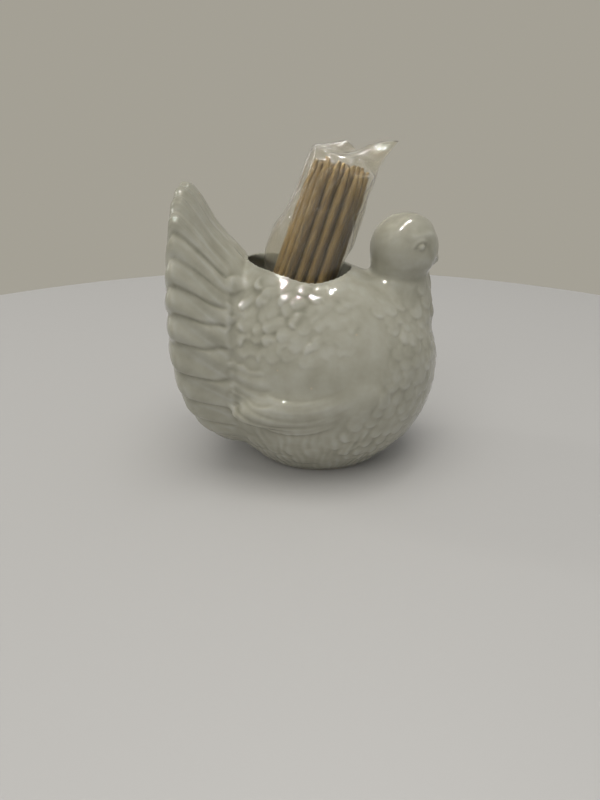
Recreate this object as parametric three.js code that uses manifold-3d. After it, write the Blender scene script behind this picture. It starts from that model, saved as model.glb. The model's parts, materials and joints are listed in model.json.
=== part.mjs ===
// A glazed ceramic holder for toothpicks in the shape of a turkey, with the clear bag of toothpicks that stands in it.
// Millimetres, +Z up, +X towards the beak, +Y to the bird's left. The origin is on the ground under the mouth.
import * as THREE from "three";
import { mergeVertices } from "three/addons/utils/BufferGeometryUtils.js";
import Module from "manifold-3d";

const wasm = await Module();
wasm.setup();

// The egg-shaped trunk, and the foot that it stands on
const bodyMiddleX = 5;
const bodyHalfLength = 28.4;
const bodyHalfWidth = 23.2;
const bodyMiddleZ = 25;
const bodyRise = 23.8;
const bodyDrop = 29;
const backRise = 5;

// The cast wall, the hollow inside it and the mouth in the back
const wall = 4;
const floorThickness = 4;
const rearWall = 4.6;
const mouthRadius = 11.7;

// The tail fan
const featherCount = 29;
const tailBackX = -29.8;
const rimHalfWidth = 22;
const rimTopX = -24.6;
const rimSideX = -26;
const rimBottomX = -13;
const rimMiddleZ = 38;
const rimRise = 28.6;
const rimDrop = 35;
const featherRelief = 1.3;
const tipScallop = 1.3;
const rootX = -10;
const rootHalfWidth = 18;
const rootTopZ = 44;
const rootBottomZ = 4;

// The head and neck
const headMiddleX = 23.9;
const headMiddleZ = 51.9;
const headRadius = 7.9;
const headHalfWidth = 7.3;
const beakLength = 6.4;
const beakWidth = 4.2;
const beakDroop = 38;
const eyeRadius = 1.15;
const wattleLength = 11;
const wattleWidth = 2;

// The folded wings
const wingLength = 36;
const wingDepth = 17;
const wingLift = 0.7;
const wingTilt = -9;

// The toothpicks
const pickLength = 65;
const pickRadius = 1;
const pickTipRadius = 0.3;
const pickTaper = 7;
const pickPitchAcross = 2.85;
const pickPitchBack = 2.25;
const pickStagger = 1.6;

// The film bag that holds them, how it leans in the mouth and how far it lifts
const bagFilm = 0.3;
const bagClearance = 0.3;
const bagHalfLength = 8.65;
const bagHalfWidth = 6.6;
const bagLoose = 3;
const bagTopHalfLength = 5.25;
const bagTopHalfWidth = 1.3;
const bagTopShift = 4.35;
const rearEarRise = 3.4;
const frontEarRise = 6.7;
const earNotch = 2.2;
const bagLean = 18.5;
const bagMouthX = 1.9;
const bagOffsetY = -1.8;
const tipShift = 0.2;

const tipNarrowShare = 0.79;
const footNarrowShare = 0.885;
const sectionCorner = 2.4;
const degree = Math.PI / 180;
const overrun = 40;

const glaze = new THREE.MeshStandardMaterial({ color: 0xe6e3da, roughness: 0.12, metalness: 0 });
const film = new THREE.MeshStandardMaterial({ color: 0xf4f4f0, roughness: 0.08, transparent: true, opacity: 0.25 });
const birch = new THREE.MeshStandardMaterial({ color: 0xc9a878, roughness: 0.7, metalness: 0 });

function mix(a, b, t) {
  return a + (b - a) * t;
}

// Smooth step from 0 at a to 1 at b
function ease(value, a, b) {
  const t = Math.min(1, Math.max(0, (value - a) / (b - a)));
  return t * t * (3 - 2 * t);
}

// A closed surface made by moving each point of a unit sphere, with its poles on the Z axis or, if asked, on the X axis
function sculpt(around, along, place, polesOnX = false) {
  const sphere = new THREE.SphereGeometry(1, around, along);
  sphere.deleteAttribute("normal");
  sphere.deleteAttribute("uv");
  const geometry = mergeVertices(sphere, 1e-5);
  const points = geometry.attributes.position;
  for (let i = 0; i < points.count; i += 1) {
    const [x, y, z] = [points.getX(i), points.getY(i), points.getZ(i)];
    const unit = polesOnX ? new THREE.Vector3(y, z, x) : new THREE.Vector3(z, x, y);
    points.setXYZ(i, ...place(unit).toArray());
  }
  return geometry;
}

function ellipsoid(middle, radii, tilt = 0, around = 20, along = 12) {
  const geometry = sculpt(around, along, (n) => n.clone().multiply(radii));
  return geometry.rotateY(tilt).translate(middle.x, middle.y, middle.z);
}

// A closed surface through rings of equally many points, each anticlockwise when seen from the next ring's side.
// The first ring is closed at its own middle, and the last at the given point.
function ringSurface(rings, lastPoint) {
  const count = rings[0].length;
  const middle = rings[0].reduce((sum, p) => sum.add(p), new THREE.Vector3()).divideScalar(count);
  const points = [...rings.flat(), middle, lastPoint];
  const [first, last] = [points.length - 2, points.length - 1];
  const faces = [];
  for (let j = 0; j < count; j += 1) {
    const k = (j + 1) % count;
    faces.push(first, k, j);
    for (let i = 0; i + 1 < rings.length; i += 1) {
      const [a, b, c, d] = [i * count + j, i * count + k, (i + 1) * count + k, (i + 1) * count + j];
      faces.push(a, b, c, a, c, d);
    }
    const top = (rings.length - 1) * count;
    faces.push(top + j, top + k, last);
  }
  const geometry = new THREE.BufferGeometry();
  geometry.setAttribute("position", new THREE.Float32BufferAttribute(points.flatMap((p) => p.toArray()), 3));
  geometry.setIndex(faces);
  return geometry;
}

function solidOf(geometry) {
  const bare = geometry.clone();
  bare.deleteAttribute("normal");
  bare.deleteAttribute("uv");
  const merged = mergeVertices(bare, 1e-5);
  return new wasm.Manifold(new wasm.Mesh({
    numProp: 3,
    vertProperties: new Float32Array(merged.attributes.position.array),
    triVerts: new Uint32Array(merged.index.array),
  }));
}

function geometryOf(solid) {
  const mesh = solid.getMesh();
  const geometry = new THREE.BufferGeometry();
  geometry.setAttribute("position", new THREE.BufferAttribute(new Float32Array(mesh.vertProperties), 3));
  geometry.setIndex(new THREE.BufferAttribute(new Uint32Array(mesh.triVerts), 1));
  geometry.computeVertexNormals();
  return geometry;
}

// The back climbs towards the tail, and the hollow under it climbs with it
function backRiseAt(x, upShare) {
  return backRise * ease(x, bodyMiddleX, bodyMiddleX - bodyHalfLength / 2) * Math.max(0, upShare) ** 2;
}

function trunk() {
  return sculpt(60, 32, (n) => {
    const x = bodyMiddleX + bodyHalfLength * n.x;
    const z = bodyMiddleZ + (n.z > 0 ? bodyRise : bodyDrop) * n.z + backRiseAt(x, n.z);
    return new THREE.Vector3(x, bodyHalfWidth * n.y, z);
  });
}

// The hollow follows the trunk at the wall's distance. It is fuller behind, and its floor is flat.
const cavityBack = bodyMiddleX - tailBackX - rearWall;
const cavityFullness = 0.67;

function cavity() {
  return sculpt(48, 28, (n) => {
    const reach = n.x > 0 ? (bodyHalfLength - wall) * n.x : -cavityBack * Math.abs(n.x) ** cavityFullness;
    const x = bodyMiddleX + reach;
    const z = bodyMiddleZ + ((n.z > 0 ? bodyRise : bodyDrop) - wall) * n.z + backRiseAt(x, n.z);
    return new THREE.Vector3(x, (bodyHalfWidth - wall) * n.y, Math.max(z, floorThickness));
  });
}

// The height of a feather's rounded back, from -0.5 in the groove beside it to 0.5 along its middle. It dies away
// below, where the fan runs into the belly.
function featherCrown(angle) {
  const place = angle / (2 * Math.PI) * featherCount;
  const across = 2 * (place - Math.round(place));
  return (0.5 - across * across) * ease(Math.cos(angle), -0.95, -0.5);
}

// A point on the tail: latitude -1 is the middle of its domed back, 0 its edge and 1 its root inside the trunk
function tailSheet(angle, latitude) {
  const crown = featherCrown(angle);
  const [side, up] = [Math.sin(angle), Math.cos(angle)];
  const rim = new THREE.Vector3(
    mix(rimSideX, up > 0 ? rimTopX : rimBottomX, Math.abs(up) ** 2.5),
    (rimHalfWidth + tipScallop * crown) * side,
    rimMiddleZ + ((up > 0 ? rimRise : rimDrop) + tipScallop * crown) * up,
  );
  if (latitude <= 0) {
    const turn = -latitude * Math.PI / 2;
    const [in_, out] = [Math.sin(turn), Math.cos(turn)];
    const relief = featherRelief * crown * out;
    return new THREE.Vector3(
      mix(rim.x, tailBackX, in_) - relief * in_,
      rim.y * out + relief * side * in_,
      mix(rimMiddleZ, rim.z, out) + relief * up * in_,
    );
  }
  const rootMiddleZ = (rootTopZ + rootBottomZ) / 2;
  const root = new THREE.Vector3(rootX, rootHalfWidth * side, mix(rootMiddleZ, rootTopZ, up));
  const relief = featherRelief * crown * Math.sin(Math.PI * latitude);
  const point = rim.lerp(root, latitude);
  return point.add(new THREE.Vector3(0, relief * side, relief * up));
}

const wingTipShare = 0.35;
const rimRoundShare = 0.16;
const rootShare = 0.84;

function tail() {
  return sculpt(featherCount * 4, 16, (n) => {
    const angle = Math.atan2(n.y, n.z);
    const latitude = Math.asin(Math.max(-1, Math.min(1, n.x))) / (Math.PI / 2);
    if (Math.abs(latitude) < rimRoundShare) {
      const t = (latitude / rimRoundShare + 1) / 2;
      const back = tailSheet(angle, -rimRoundShare);
      const edge = tailSheet(angle, 0);
      const front = tailSheet(angle, rimRoundShare / rootShare);
      return back.multiplyScalar((1 - t) ** 2).addScaledVector(edge, 2 * t * (1 - t)).addScaledVector(front, t ** 2);
    }
    if (latitude <= rootShare) {
      return tailSheet(angle, latitude < 0 ? latitude : latitude / rootShare);
    }
    const rim = tailSheet(angle, 1);
    return rim.lerp(new THREE.Vector3(rootX, 0, (rootTopZ + rootBottomZ) / 2), (latitude - rootShare) / (1 - rootShare));
  }, true);
}

// Neck and head are one closed shape of rings, from inside the breast up to the crown. Each neck ring has its height
// above the trunk's middle as a share of the head's, then how far it lies behind the head, its half length and its
// half width as shares of the head's radius.
const neckRingShares = [
  [0.05, 0.9, 1.6, 2.0],
  [0.3, 0.68, 1.62, 1.72],
  [0.46, 0.49, 1.51, 1.4],
  [0.6, 0.33, 1.24, 1.12],
  [0.72, 0.2, 0.99, 0.93],
  [0.81, 0.11, 0.87, 0.86],
];

function neckAndHead() {
  const around = 32;
  const headSteps = 9;
  const lowestClimb = -20;
  const rings = neckRingShares.map(([height, back, long, wide]) => [
    mix(bodyMiddleZ, headMiddleZ, height),
    headMiddleX - headRadius * back,
    headRadius * long,
    headHalfWidth * wide,
  ]);
  for (let i = 0; i < headSteps; i += 1) {
    const climb = mix(lowestClimb, 90, i / headSteps) * degree;
    const [out, up] = [Math.cos(climb), Math.sin(climb)];
    rings.push([headMiddleZ + headRadius * up, headMiddleX, headRadius * out, headHalfWidth * out]);
  }
  return ringSurface(rings.map(([z, x, long, wide]) => {
    const turns = Array.from({ length: around }, (_, j) => 2 * Math.PI * j / around);
    return turns.map((turn) => new THREE.Vector3(x + long * Math.cos(turn), wide * Math.sin(turn), z));
  }), new THREE.Vector3(headMiddleX, 0, headMiddleZ + headRadius));
}

// Beak, eyes and the wattle below the beak, placed by shares of the head's radius
const beakPlaceShares = [0.7, -0.2];
const eyePlaceShares = [0.33, 0.2];
const wattlePlaceShares = [0.7, -1.2];

function headDetails() {
  const place = ([forward, up], y = 0) =>
    new THREE.Vector3(headMiddleX + headRadius * forward, y, headMiddleZ + headRadius * up);
  const beak = ellipsoid(place(beakPlaceShares),
    new THREE.Vector3(beakLength / 2, beakWidth / 2, beakWidth / 2), beakDroop * degree);
  const eyeOut = headHalfWidth * Math.sqrt(1 - eyePlaceShares[0] ** 2 - eyePlaceShares[1] ** 2);
  const eyes = [-1, 1].map((side) => ellipsoid(place(eyePlaceShares, side * (eyeOut - eyeRadius / 2)),
    new THREE.Vector3(eyeRadius, eyeRadius, eyeRadius), 0, 12, 8));
  const wattle = ellipsoid(place(wattlePlaceShares),
    new THREE.Vector3(wattleWidth * 0.8, wattleWidth / 2, wattleLength / 2), 0, 16, 12);
  return [beak, ...eyes, wattle];
}

// A wing is a drop that stands a little out of the trunk's side, full at the shoulder and slim behind
function wing(side) {
  const depth = 6 * wingLift;
  const lens = sculpt(28, 14, (n) => {
    const slim = mix(wingTipShare, 1, (n.x + 1) / 2);
    return new THREE.Vector3(wingLength / 2 * n.x, depth * n.y, wingDepth / 2 * n.z * slim);
  });
  return lens.rotateY(wingTilt * degree).translate(bodyMiddleX - wingLength / 12,
    side * (bodyHalfWidth + wingLift - depth), bodyMiddleZ - wingDepth / 5);
}

function holderBody() {
  const lobes = [trunk(), tail(), neckAndHead(), ...headDetails(), wing(-1), wing(1)].map(solidOf);
  const whole = lobes.reduce((sum, lobe) => sum.add(lobe));
  const below = solidOf(new THREE.BoxGeometry(3 * overrun, 3 * overrun, overrun).translate(0, 0, -overrun / 2));
  const mouthPost = new THREE.CylinderGeometry(mouthRadius, mouthRadius, overrun, 56).rotateX(Math.PI / 2);
  const mouth = solidOf(mouthPost.translate(0, 0, bodyMiddleZ + overrun / 2));
  return whole.subtract(below).subtract(solidOf(cavity())).subtract(mouth);
}

// The bag stands in its own frame: x across the bundle, y front to back and z along the toothpicks, from the level of
// their lower ends. It leans until its front edge rests on the hollow's floor.
const bagFloor = -bagClearance - bagFilm;
const bagBaseZ = floorThickness + bagClearance + (bagHalfLength * footNarrowShare + bagFilm) * Math.sin(bagLean * degree)
  - bagFloor * Math.cos(bagLean * degree);
const mouthZ = bodyMiddleZ + bodyRise;
const bagBaseX = bagMouthX - (mouthZ - bagBaseZ) * Math.tan(bagLean * degree);

// How the bundle draws in towards the tips: the share of its width that is left, and how far it has moved across
function bundleAt(height) {
  const t = height / pickLength;
  return { narrow: mix(1, tipNarrowShare, t), shift: tipShift * t };
}

function pickPlaces() {
  const places = [];
  for (let row = -2; row <= 2; row += 1) {
    const count = 6 - Math.abs(row);
    for (let i = 0; i < count; i += 1) {
      places.push([(i - (count - 1) / 2) * pickPitchAcross, row * pickPitchBack]);
    }
  }
  return places;
}

function toothpick(place, index) {
  const [across, back] = place;
  const outline = [
    [0, 0], [pickTipRadius, 0], [pickRadius, pickTaper],
    [pickRadius, pickLength - pickTaper], [pickTipRadius, pickLength], [0, pickLength],
  ].map(([radius, height]) => new THREE.Vector2(radius, height));
  const geometry = new THREE.LatheGeometry(outline, 8).rotateX(Math.PI / 2);
  const mesh = new THREE.Mesh(geometry, birch);
  mesh.name = `toothpick_${String(index + 1).padStart(2, "0")}`;
  const { narrow, shift } = bundleAt(pickLength);
  const lean = new THREE.Vector3(across * narrow + shift - across, back * narrow - back, pickLength).normalize();
  mesh.quaternion.setFromUnitVectors(new THREE.Vector3(0, 0, 1), lean);
  const lift = pickStagger * (0.5 + 0.5 * Math.sin(7.3 * index + 1));
  mesh.position.set(across, back, 0).addScaledVector(lean, lift);
  return mesh;
}

// One ring of the bag's wall, with rounded corners, grown outward by the film's thickness for its outer face.
// Slack lets its rear half stand off.
function bagRing(height, halfLength, halfWidth, shift, grow, slack = 0) {
  const around = 32;
  return Array.from({ length: around }, (_, j) => {
    const turn = 2 * Math.PI * j / around;
    const [c, s] = [Math.cos(turn), Math.sin(turn)];
    const reach = (Math.abs(c) ** sectionCorner + Math.abs(s) ** sectionCorner) ** (-1 / sectionCorner);
    const length = halfLength + grow + (c < 0 ? slack : 0);
    return new THREE.Vector3(length * reach * c + shift, (halfWidth + grow) * reach * s, height);
  });
}

// The film stands loose at the rear, just above the mouth. Heights are shares of the toothpicks' length.
const looseFromShare = 0.52;
const looseMostShare = 0.69;
const looseToShare = 0.93;
const wallRingShares = [0.45, 0.52, 0.61, 0.69, 0.77, 0.85, 0.93];

function looseAt(height) {
  const share = height / pickLength;
  return bagLoose * ease(share, looseFromShare, looseMostShare) * (1 - ease(share, looseMostShare, looseToShare));
}

// Above the tips the film is pressed flat into two ears with a notch between them
const earBaseHeight = pickLength + pickStagger + 2 * bagClearance;
const earRingShares = [0.35, 0.7, 1];

function bagEars(grow) {
  const tips = bagRing(earBaseHeight, bagHalfLength * tipNarrowShare, bagHalfWidth * tipNarrowShare, tipShift, grow);
  const top = bagRing(earBaseHeight, bagTopHalfLength, bagTopHalfWidth, bagTopShift, grow).map((p) => {
    const forward = (p.x - bagTopShift) / (bagTopHalfLength + grow);
    const rise = mix(rearEarRise, frontEarRise, (1 + forward) / 2) - earNotch * (1 - Math.abs(forward));
    return new THREE.Vector3(p.x, p.y, p.z + rise);
  });
  return earRingShares.map((t) => tips.map((p, j) => p.clone().lerp(top[j], t)));
}

function bagWall(grow) {
  const foot = bagRing(-bagClearance - grow, bagHalfLength * footNarrowShare, bagHalfWidth * footNarrowShare, 0, grow);
  const middleHeights = wallRingShares.map((share) => share * pickLength);
  const rings = [pickTaper, ...middleHeights, pickLength, earBaseHeight].map((height) => {
    const { narrow, shift } = bundleAt(height);
    return bagRing(height, bagHalfLength * narrow, bagHalfWidth * narrow, shift, grow, looseAt(height));
  });
  return [foot, ...rings, ...bagEars(grow)];
}

function pickBag() {
  const rings = [...bagWall(bagFilm), ...bagWall(0).reverse()];
  const mesh = new THREE.Mesh(ringSurface(rings, new THREE.Vector3(0, 0, -bagClearance)), film);
  mesh.name = "pick_bag";
  return mesh;
}

function bagOfPicks() {
  const group = new THREE.Group();
  group.add(pickBag(), ...pickPlaces().map(toothpick));
  group.rotation.y = bagLean * degree;
  group.position.set(bagBaseX, bagOffsetY, bagBaseZ);
  return group;
}

function holderMesh() {
  const mesh = new THREE.Mesh(geometryOf(holderBody()), glaze);
  mesh.name = "holder_body";
  return mesh;
}

const toothpickHolder = new THREE.Group();
toothpickHolder.add(holderMesh(), bagOfPicks());

export default toothpickHolder;
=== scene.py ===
import bpy
import json
import math
import random
import numpy as np
from mathutils import Euler, Matrix, Vector
from mathutils.bvhtree import BVHTree


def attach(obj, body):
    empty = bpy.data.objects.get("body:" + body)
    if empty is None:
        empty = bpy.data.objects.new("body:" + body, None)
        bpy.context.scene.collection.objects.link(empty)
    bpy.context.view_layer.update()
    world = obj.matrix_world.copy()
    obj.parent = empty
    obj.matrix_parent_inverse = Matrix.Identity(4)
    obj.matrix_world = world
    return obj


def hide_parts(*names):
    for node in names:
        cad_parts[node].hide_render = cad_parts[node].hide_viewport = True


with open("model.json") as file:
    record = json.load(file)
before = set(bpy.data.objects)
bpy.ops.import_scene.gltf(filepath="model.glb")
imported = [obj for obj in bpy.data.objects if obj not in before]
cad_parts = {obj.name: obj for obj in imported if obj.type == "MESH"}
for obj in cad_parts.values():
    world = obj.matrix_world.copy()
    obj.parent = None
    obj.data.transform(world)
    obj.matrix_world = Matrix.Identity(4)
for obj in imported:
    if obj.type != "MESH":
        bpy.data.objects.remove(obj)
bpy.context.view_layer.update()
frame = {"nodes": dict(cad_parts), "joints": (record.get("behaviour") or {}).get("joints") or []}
mm = 0.001

print("stage: camera, light and floor")

view = {
    "place": (0, -0.139, 0.0784),  # above and in front of the bird's right side
    "tilt": 65,  # 25 degrees down
    "lens": 27,
    "sensor": 36,
    "nearest": 0.005,
    "boardRadius": 0.229,
    "boardMiddle": (0, -0.0226),
    "boardCorners": 256,
    "boardColour": (0.49, 0.482, 0.462, 1),
    "boardRoughness": 0.6,
    "wallColour": (0.372, 0.352, 0.300, 1),
    "roomColour": (0.96, 0.97, 1.0, 1),
    "roomStrength": 0.40,
}

# The two panels only light. The long tube overhead only draws the thin bright lines on the glaze and the
# film. The tube on the left marks the tail's edge.
lamps = {
    "ceiling": {"place": (-0.06, -0.16, 0.92), "aim": (0, 0, 0.02), "size": (0.80, 0.60), "roll": 0,
                "power": 4.3, "colour": (1, 0.975, 0.93), "lights": True, "mirrored": False},
    "tubeGlint": {"place": (-0.01, -0.09, 0.91), "aim": (-0.01, -0.09, 0), "size": (0.74, 0.005), "roll": 49,
                  "power": 14.0, "colour": (1, 0.985, 0.96), "lights": False, "mirrored": True},
    "tubeLeft": {"place": (-0.86, 0.28, 0.42), "aim": (0, 0, 0.03), "size": (0.45, 0.016), "roll": 90,
                 "power": 0.9, "colour": (1, 0.98, 0.95), "lights": True, "mirrored": True},
    "softPanel": {"place": (-0.24, -0.60, 0.62), "aim": (0, 0, 0.02), "size": (0.50, 0.40), "roll": 0,
                  "power": 1.35, "colour": (1, 0.975, 0.94), "lights": True, "mirrored": False},
}


def addObject(name, data):
    thing = bpy.data.objects.new(name, data)
    bpy.context.scene.collection.objects.link(thing)
    return thing


def setCamera():
    data = bpy.data.cameras.new("photoCamera")
    data.lens = view["lens"]
    data.sensor_width = view["sensor"]
    data.clip_start = view["nearest"]
    cam = addObject("photoCamera", data)
    cam.location = view["place"]
    cam.rotation_euler = (math.radians(view["tilt"]), 0, 0)
    bpy.context.scene.camera = cam


def setLamps():
    for name, lamp in lamps.items():
        data = bpy.data.lights.new(name, "AREA")
        data.shape = "RECTANGLE"
        data.size, data.size_y = lamp["size"]
        data.energy = lamp["power"]
        data.color = lamp["colour"]
        thing = addObject(name, data)
        thing.location = lamp["place"]
        facing = (Vector(lamp["aim"]) - Vector(lamp["place"])).to_track_quat("-Z", "Y")
        roll = Euler((0, 0, math.radians(lamp["roll"]))).to_quaternion()
        thing.rotation_euler = (facing @ roll).to_euler()
        thing.visible_diffuse = lamp["lights"]
        thing.visible_glossy = lamp["mirrored"]


def feed(links, socket, value):
    if isinstance(value, bpy.types.NodeSocket):
        links.new(value, socket)
    else:
        socket.default_value = value


def addMath(nodes, links, operation, *values):
    node = nodes.new("ShaderNodeMath")
    node.operation = operation
    for socket, value in zip(node.inputs, values):
        feed(links, socket, value)
    return node


def background(nodes, colour, strength):
    node = nodes.new("ShaderNodeBackground")
    node.inputs["Color"].default_value = colour
    node.inputs["Strength"].default_value = strength
    return node.outputs[0]


def setWorld():
    # The wall's tone shows in the picture, in mirrors and through glass. The room's paler one gives the soft
    # light.
    world = bpy.data.worlds.new("studio")
    bpy.context.scene.world = world
    world.use_nodes = True
    nodes, links = world.node_tree.nodes, world.node_tree.links
    nodes.clear()
    path = nodes.new("ShaderNodeLightPath").outputs
    seen = addMath(nodes, links, "MAXIMUM", path["Is Camera Ray"], path["Is Transmission Ray"]).outputs[0]
    seen = addMath(nodes, links, "MAXIMUM", seen, path["Is Glossy Ray"]).outputs[0]
    mixer = nodes.new("ShaderNodeMixShader")
    out = nodes.new("ShaderNodeOutputWorld")
    links.new(seen, mixer.inputs[0])
    links.new(background(nodes, view["roomColour"], view["roomStrength"]), mixer.inputs[1])
    links.new(background(nodes, view["wallColour"], 1), mixer.inputs[2])
    links.new(mixer.outputs[0], out.inputs["Surface"])


def startMaterial(name):
    material = bpy.data.materials.new(name)
    material.use_nodes = True
    tree = material.node_tree
    return material, tree.nodes, tree.links, tree.nodes["Principled BSDF"].inputs


def makeFloor():
    radius, (x, y), corners = view["boardRadius"], view["boardMiddle"], view["boardCorners"]
    turns = [2 * math.pi * k / corners for k in range(corners)]
    rim = [(x + radius * math.cos(t), y + radius * math.sin(t), 0) for t in turns]
    mesh = bpy.data.meshes.new("roundBoard")
    mesh.from_pydata(rim, [], [tuple(range(corners))])
    floor = addObject("roundBoard", mesh)
    material, _, _, shader = startMaterial("paleBoard")
    shader["Base Color"].default_value = view["boardColour"]
    shader["Roughness"].default_value = view["boardRoughness"]
    mesh.materials.append(material)


setCamera()
setWorld()
makeFloor()
setLamps()
bpy.context.scene.view_settings.view_transform = "Standard"

print("stage: shared node groups")


def newGroup(name, inputs, output):
    group = bpy.data.node_groups.new(name, "ShaderNodeTree")
    group.interface.new_socket("Vector", in_out="INPUT", socket_type="NodeSocketVector")
    for label, value in inputs.items():
        socket = group.interface.new_socket(label, in_out="INPUT", socket_type="NodeSocketFloat")
        socket.default_value = value
    group.interface.new_socket(output, in_out="OUTPUT", socket_type="NodeSocketFloat")
    given = group.nodes.new("NodeGroupInput").outputs
    return group, given, group.nodes.new("NodeGroupOutput").inputs[output]


def mapRange(nodes, links, value, low, high, toLow=0.0, toHigh=1.0):
    node = nodes.new("ShaderNodeMapRange")
    values = {"Value": value, "From Min": low, "From Max": high, "To Min": toLow, "To Max": toHigh}
    for label, given in values.items():
        feed(links, node.inputs[label], given)
    return node.outputs["Result"]


def mottleGroup():
    # Soft patches between two values, for roughness or tone that is never quite even
    values = {"Scale": 100.0, "Detail": 3.0, "Low": 0.1, "High": 0.2}
    group, given, result = newGroup("softMottle", values, "Value")
    nodes, links = group.nodes, group.links
    cloud = nodes.new("ShaderNodeTexNoise")
    for label in ("Vector", "Scale", "Detail"):
        links.new(given[label], cloud.inputs[label])
    often = (0.3, 0.7)  # the noise is seldom outside this
    links.new(mapRange(nodes, links, cloud.outputs["Fac"], *often, given["Low"], given["High"]), result)
    return group


def specksGroup():
    # Sparse small spots: pinholes in glaze, dark pores in wood
    values = {"Scale": 400.0, "Size": 0.12, "Share": 0.2}
    group, given, result = newGroup("sparseSpecks", values, "Mask")
    nodes, links = group.nodes, group.links
    cells = nodes.new("ShaderNodeTexVoronoi")
    for label in ("Vector", "Scale"):
        links.new(given[label], cells.inputs[label])
    chance = nodes.new("ShaderNodeSeparateColor")
    links.new(cells.outputs["Color"], chance.inputs["Color"])
    near = addMath(nodes, links, "LESS_THAN", cells.outputs["Distance"], given["Size"]).outputs[0]
    few = addMath(nodes, links, "LESS_THAN", chance.outputs["Red"], given["Share"]).outputs[0]
    links.new(addMath(nodes, links, "MULTIPLY", near, few).outputs[0], result)
    return group


softMottle = mottleGroup()
sparseSpecks = specksGroup()


def place(nodes, links, group, vector, **values):
    node = nodes.new("ShaderNodeGroup")
    node.node_tree = group
    links.new(vector, node.inputs["Vector"])
    for label, value in values.items():
        node.inputs[label].default_value = value
    return node.outputs[0]


def mixColour(nodes, links, factor, a, b):
    node = nodes.new("ShaderNodeMix")
    node.data_type = "RGBA"
    links.new(factor, node.inputs["Factor"])
    feed(links, node.inputs["A"], a)
    feed(links, node.inputs["B"], b)
    return node.outputs["Result"]


def bumpNormal(nodes, links, height, strength, depth):
    node = nodes.new("ShaderNodeBump")
    node.inputs["Strength"].default_value = strength
    node.inputs["Distance"].default_value = depth * mm
    links.new(height, node.inputs["Height"])
    return node.outputs["Normal"]


print("stage: the ceramic bird")

# All lengths here are in millimetres
bird = {
    "voxel": 0.32,
    "roughVoxel": 0.6,
    "weld": 0.001,
    "softRounds": 70,
    "glazeRounds": 2,
    "glazeWeight": 0.4,
    "sink": 0.30,  # the carving sinks in by as much as it stands out
    "flatFoot": 0.35,  # what lies lower than this is the foot's flat underside
    "trunkMiddle": (5, 0, 25),
    "trunkSize": (28.4, 23.2, 23.8, 29),  # forward, sideways, up, down
    "hollow": (24.4, 30.2, 19.2, 19.8, 25),  # forward, back, sideways, up, down
    "hollowCorner": 0.67,
    "hollowWall": (1.12, 1.22),  # as shares of the hollow's size
    "hollowFacing": (-0.2, 0.15),
    "hollowBackRun": 14.2,
    "throat": (11.8, 12.8),
    "throatFrom": (34, 38),
    "backRise": 5,
    "mouthRadius": 11.7,
    "neckUp": (43.5, 46),  # from here up, and forward of the next, no feathers
    "neckAlong": (10, 13),
    "hair": 0.10,
    "hairs": (62, 23),  # how closely they and their patches stand round the trunk
    "hairAlong": (-12, 17, 3),
    "hairUp": (0.6, 2),
    "hairEnd": (13, 17),
    "lipRise": 1.3,
    "lipReach": (1.0, 9.0),
    "lipUp": (38, 44),
    "headFill": (0.5, (46.5, 49), (14, 16), (29, 31)),  # how much, from here up, and along the bird
    "tipFill": (0.5, (56, 64), (-18, -14)),
    "swells": ((1.9, 5, 1.0), (4.5, 6, 2.5)),  # of the glaze: wavelength, seed and share
    "swell": 0.006,
    "calm": (0.7, 0.95),  # how far the panel and the head are spared from it
    "panelAlong": (-9, 19, 2),
    "panelUp": (24, 36, 2),
    "headUp": (46, 48),
}

# The tail fan: an oval rim that draws in towards a root on the trunk
fan = {
    "middleZ": 38,
    "size": (22, 28.6, 35),  # sideways, up, down
    "rimX": (-26, -24.6, -13),  # at the sides, the top and the bottom
    "rimBend": 2.5,
    "rootX": -10,
    "solidRoot": (24, 18, 20, 20),  # middle height and sizes of the root as the solid's ribs run
    "carvedRoot": (35, 18, 14, 30),  # and as the carved feathers run
    "feathers": 29,
    "spread": (27, 7),  # the fan's mean half size at the rim, and its loss at the root
    "outSpan": (0.25, 1.2),
    "solidRib": 1.3,
    "flatten": 0.3,
    "rib": 0.52,
    "ribRound": 0.90,
    "ribLevel": 0.70,
    "groove": 0.17,
    "grooveWidth": 0.36,
    "lap": 0.12,  # each feather's upper edge lies over the next
    "wander": 0.05,
    "streak": 0.05,
    "faint": (0.15, (34, 42)),  # the grooves' strength at the top, and to where, in degrees
    "weaker": (0.45, (48, 62, 3)),  # what they lose between these, and how softly
    "lowest": (0.5, (128, 150)),  # and what they lose from here down
    "grooveFrom": (0.15, 0.45),  # as shares of the way out to the rim
    "streakFrom": (0.3, 0.6),
    "streakEnd": (36, 50),
    "front": (-16.2, -14.4),
    "channel": (0.30, -14.1, 1.1, (14, 46, 5)),  # the dip before the fan: depth, place, half width, span up
}

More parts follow.
